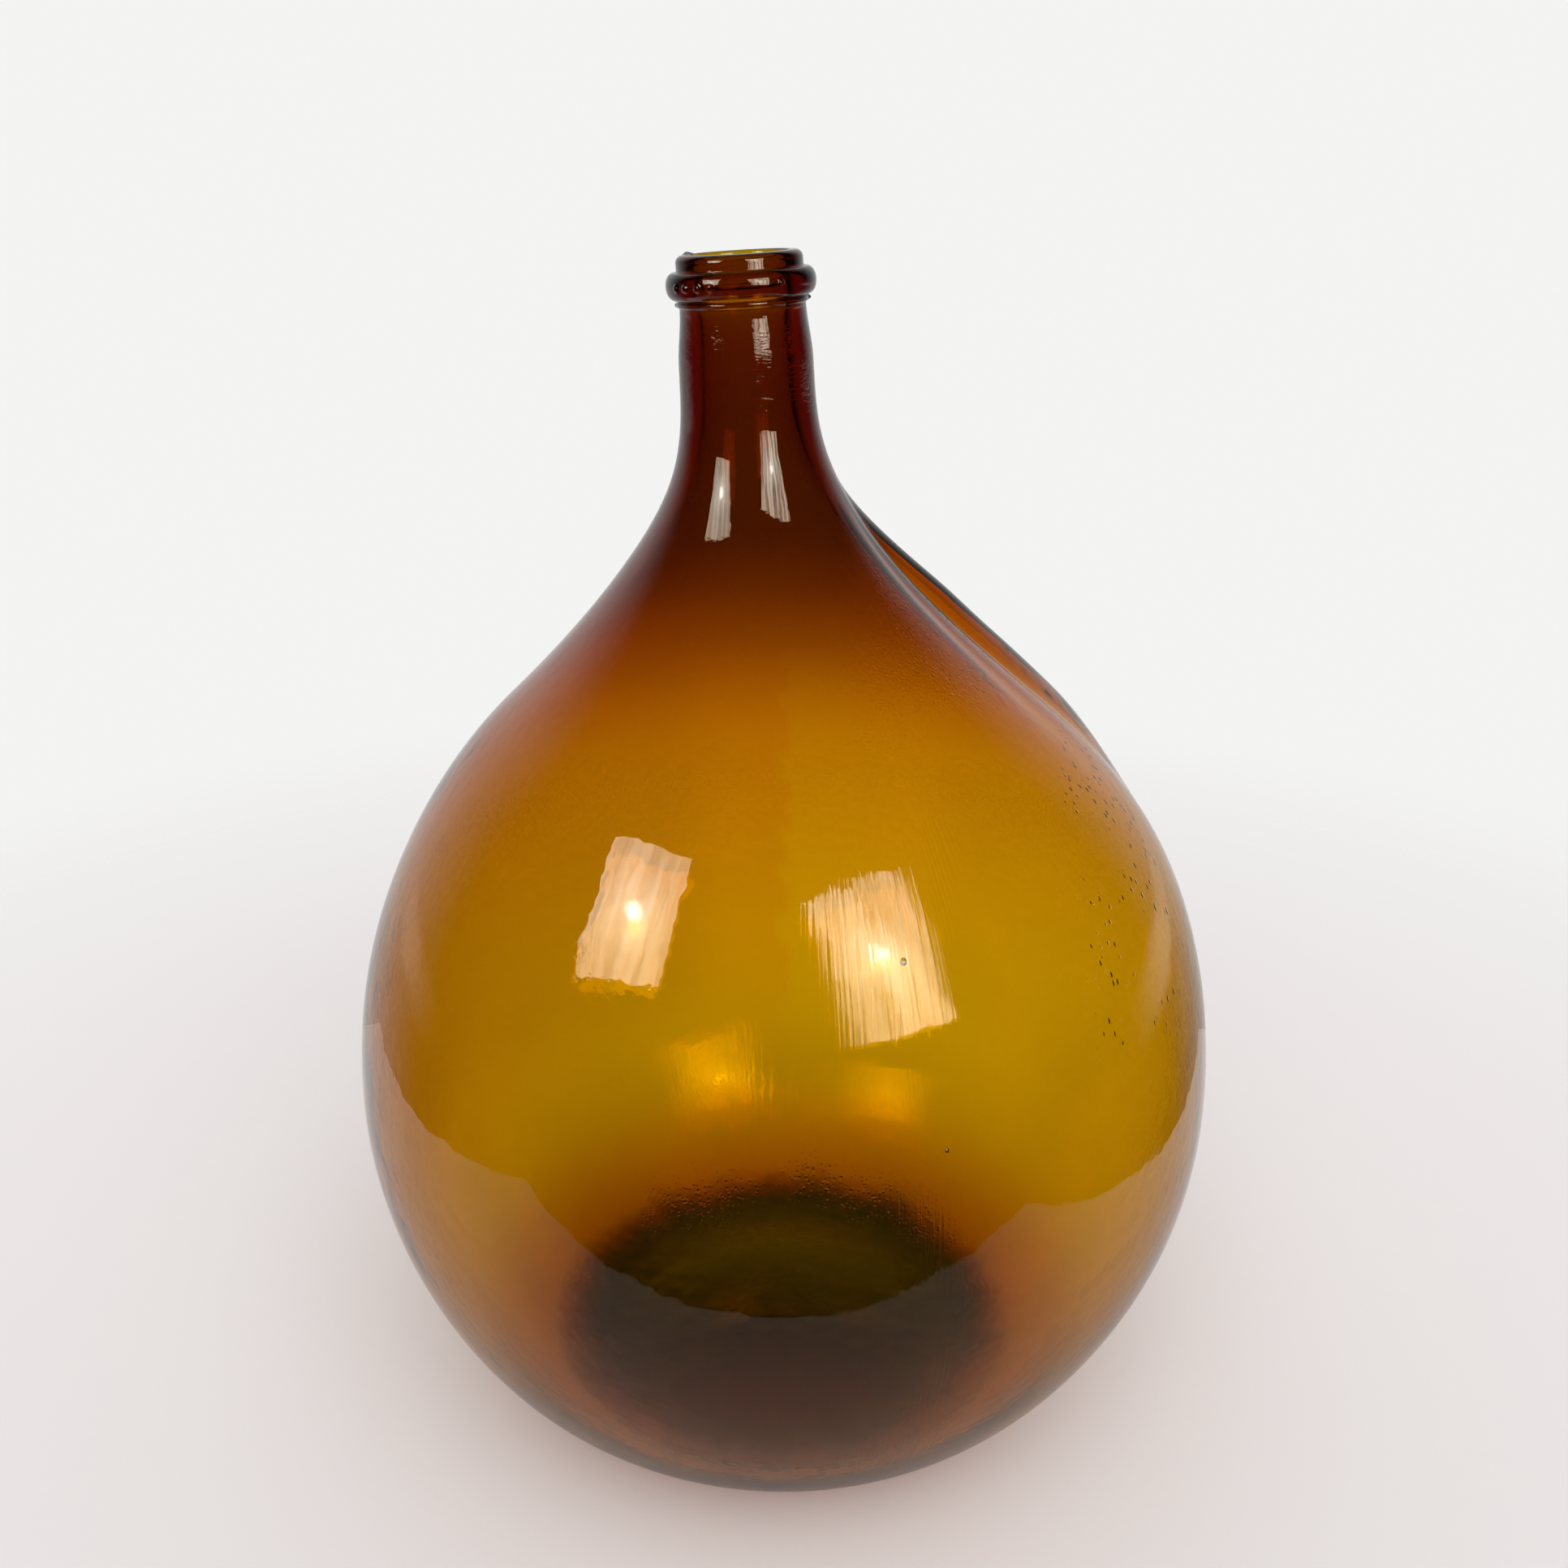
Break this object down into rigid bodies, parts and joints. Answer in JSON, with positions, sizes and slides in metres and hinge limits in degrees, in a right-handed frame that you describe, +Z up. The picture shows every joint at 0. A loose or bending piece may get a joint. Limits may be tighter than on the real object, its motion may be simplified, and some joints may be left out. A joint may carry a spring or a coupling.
{
  "type": "glass carboy",
  "caption": "Large open teardrop carboy of amber glass for fermenting and storing wine, with a punted foot, leaning neck, wrapped ring and rounded lip.",
  "frame": {"origin": "middle of the foot, on the surface that the carboy stands on", "axes": "+Z up through the belly towards the mouth, -Y towards the viewer, and the neck leans towards -X"},
  "size_m": [0.4704, 0.4704, 0.6292],
  "materials": {
    "amber_glass": "clear amber glass, yellow where thin and brown where thick, fire polished"
  },
  "bodies": {
    "root": {"base": "amber_glass", "heel": "amber_glass", "lower_body": "amber_glass", "belly": "amber_glass", "upper_body": "amber_glass", "shoulder": "amber_glass", "neck_root": "amber_glass", "neck": "amber_glass", "neck_bead": "amber_glass", "neck_ring": "amber_glass", "lip": "amber_glass"}
  },
  "joints": []
}
